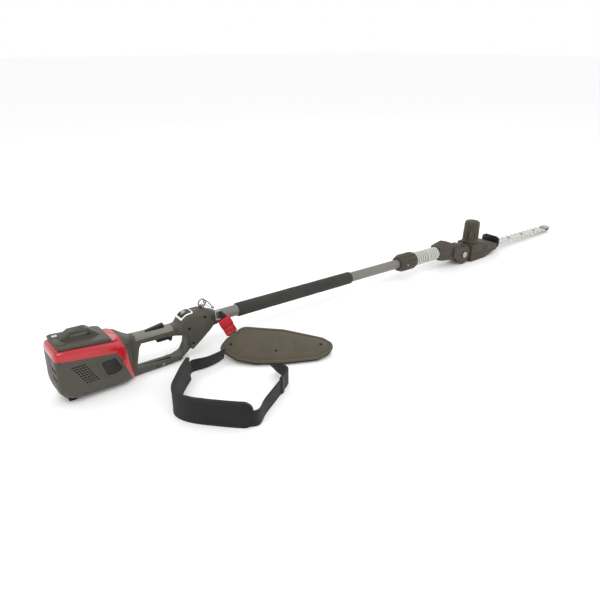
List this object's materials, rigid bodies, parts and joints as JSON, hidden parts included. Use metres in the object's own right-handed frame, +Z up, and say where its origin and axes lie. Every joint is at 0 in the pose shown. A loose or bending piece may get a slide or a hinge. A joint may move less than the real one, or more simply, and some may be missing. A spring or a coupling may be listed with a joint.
{
  "type": "pole hedge trimmer",
  "caption": "Battery pole hedge trimmer with telescopic pole, tilting cutting head, double-sided reciprocating blades, D-handle with trigger, and a clip-on padded carrying harness",
  "frame": {"origin": "centre of the rear foot's flat underside, on the floor that the tool lies on", "axes": "+X along the pole from battery to blade, +Z up, +Y to the left seen from the battery end"},
  "size_m": [2.0401, 0.4042, 0.1634],
  "materials": {
    "casing": "fine grain, satin",
    "red_shell": "gloss",
    "grip_rubber": "soft, fine grain",
    "white_trim": "satin",
    "black_plastic": "satin",
    "foot_rubber": "matt",
    "steel": "brushed",
    "board": "lacquered",
    "tube": "satin",
    "foam": "closed-cell foam",
    "pale_plastic": "satin",
    "head_plastic": "fine grain",
    "sleeve_plastic": "ribbed, satin",
    "silver": "satin",
    "blade_steel": "ground",
    "webbing": "woven strap",
    "buckle_red": "satin",
    "pad_cloth": "brushed knit",
    "pad_cloth_dark": "woven"
  },
  "bodies": {
    "tool": {"housing_right": "casing", "housing_left": "casing", "top_cover": "red_shell", "grip_overmould": "grip_rubber", "panel_bezel": "white_trim", "control_panel": "black_plastic", "side_badge": "black_plastic", "rear_foot": "foot_rubber", "eye_lug": "steel", "body_screw_1": "steel", "body_screw_2": "steel", "body_screw_3": "steel", "body_screw_4": "steel", "control_board": "board", "battery_terminals": "black_plastic", "trigger_switch": "black_plastic", "trigger_pin": "steel", "trigger_spring": "steel", "outer_tube": "tube", "foam_grip": "foam", "clamp_collet": "black_plastic"},
    "battery": {"battery_pack": "casing", "charge_gauge": "pale_plastic"},
    "latch": {"battery_latch": "pale_plastic"},
    "trigger": {"trigger": "black_plastic"},
    "lock_off": {"lock_off_lever": "black_plastic"},
    "power": {"power_button": "pale_plastic"},
    "collar": {"twist_collar": "head_plastic"},
    "extension": {"inner_tube": "tube", "sliding_bush": "black_plastic", "sleeve_1": "sleeve_plastic", "sleeve_2": "sleeve_plastic", "head_yoke": "head_plastic", "pivot_bolt": "steel"},
    "pivot_lock": {"pivot_button": "silver"},
    "head": {"gearbox_upper": "head_plastic", "gearbox_lower": "head_plastic", "motor_cover": "head_plastic", "motor": "steel", "crank_bearing": "steel", "guide_bar": "steel", "tip_guard": "pale_plastic", "blade_guard": "black_plastic"},
    "motor_shaft": {"motor_pinion": "steel"},
    "crank": {"crank_gear": "steel"},
    "blade_top": {"upper_blade": "blade_steel"},
    "blade_bottom": {"lower_blade": "blade_steel"},
    "carry": {"carry_eye": "steel", "snap_hook": "steel", "square_ring": "silver", "hook_webbing": "webbing", "buckle_female": "buckle_red"},
    "gate": {"hook_gate": "silver"},
    "harness": {"buckle_male": "buckle_red", "pad_tab": "webbing", "hip_pad": "pad_cloth", "strap_left": "webbing", "shoulder_pad": "pad_cloth_dark", "strap_right": "webbing", "strap_keeper": "black_plastic"}
  },
  "joints": [
    {"name": "telescope", "type": "slide", "parent": "tool", "child": "extension", "axis": [0.9996, 0, -0.0274], "range_m": [0, 0.45]},
    {"name": "collar_twist", "type": "hinge", "parent": "tool", "child": "collar", "pos_m": [1.07628, 0, 0.06853], "axis": [0.9996, 0, -0.0274], "range_deg": [0, 90]},
    {"name": "head_tilt", "type": "hinge", "parent": "extension", "child": "head", "pos_m": [1.4025, 0, 0.03558], "axis": [0, 1, 0], "range_deg": [-45, 90]},
    {"name": "pivot_release", "type": "slide", "parent": "extension", "child": "pivot_lock", "axis": [0, 1, 0], "range_m": [0, 0.0025], "stiffness_N_per_m": 600, "springref_m": -0.001},
    {"name": "crank_spin", "type": "hinge", "parent": "head", "child": "crank", "pos_m": [1.50487, 0, 0.05678], "axis": [0.0274, 0, 0.9996], "continuous": true},
    {"name": "motor_spin", "type": "hinge", "parent": "head", "child": "motor_shaft", "pos_m": [1.46714, 0, 0.05781], "axis": [0.0274, 0, 0.9996], "continuous": true},
    {"name": "blade_stroke", "type": "slide", "parent": "head", "child": "blade_top", "axis": [0.9996, 0, -0.0274], "range_m": [-0.008, 0.008]},
    {"name": "counter_stroke", "type": "slide", "parent": "head", "child": "blade_bottom", "axis": [0.9996, 0, -0.0274], "range_m": [-0.008, 0.008]},
    {"name": "trigger_pull", "type": "hinge", "parent": "tool", "child": "trigger", "pos_m": [0.26048, 0, 0.08689], "axis": [0, 1, 0], "range_deg": [0, 5.5], "stiffness_Nm_per_rad": 0.4, "springref_deg": -4.58, "deforming": ["trigger_spring"]},
    {"name": "lock_off_press", "type": "hinge", "parent": "tool", "child": "lock_off", "pos_m": [0.19783, 0, 0.10062], "axis": [0, 1, 0], "range_deg": [0, 4.5], "stiffness_Nm_per_rad": 0.2, "springref_deg": -4.58},
    {"name": "power_press", "type": "slide", "parent": "tool", "child": "power", "axis": [-0.0274, 0, -0.9996], "range_m": [0, 0.0015], "stiffness_N_per_m": 500, "springref_m": -0.001},
    {"name": "battery_lift", "type": "slide", "parent": "tool", "child": "battery", "axis": [0.0274, 0, 0.9996], "range_m": [0, 0.11]},
    {"name": "latch_press", "type": "slide", "parent": "battery", "child": "latch", "axis": [-0.0274, 0, -0.9996], "range_m": [0, 0.003], "stiffness_N_per_m": 500, "springref_m": -0.001},
    {"name": "carry_swing", "type": "hinge", "parent": "tool", "child": "carry", "pos_m": [0.35055, 0, 0.12464], "axis": [-0.9996, 0, 0.0274], "range_deg": [0, 65]},
    {"name": "hook_gate_open", "type": "hinge", "parent": "carry", "child": "gate", "pos_m": [0.3652, -0.02263, 0.12436], "axis": [-0.1047, 0.3923, -0.9139], "range_deg": [0, 15], "stiffness_Nm_per_rad": 0.02, "springref_deg": -8.59},
    {"name": "buckle_release", "type": "slide", "parent": "carry", "child": "harness", "axis": [0.3826, -0.1497, -0.9117], "range_m": [0, 0.03]}
  ],
  "couplings": [
    {"joint": "motor_spin", "follows": "crank_spin", "ratio": -4.5556},
    {"joint": "counter_stroke", "follows": "blade_stroke", "ratio": -1}
  ]
}
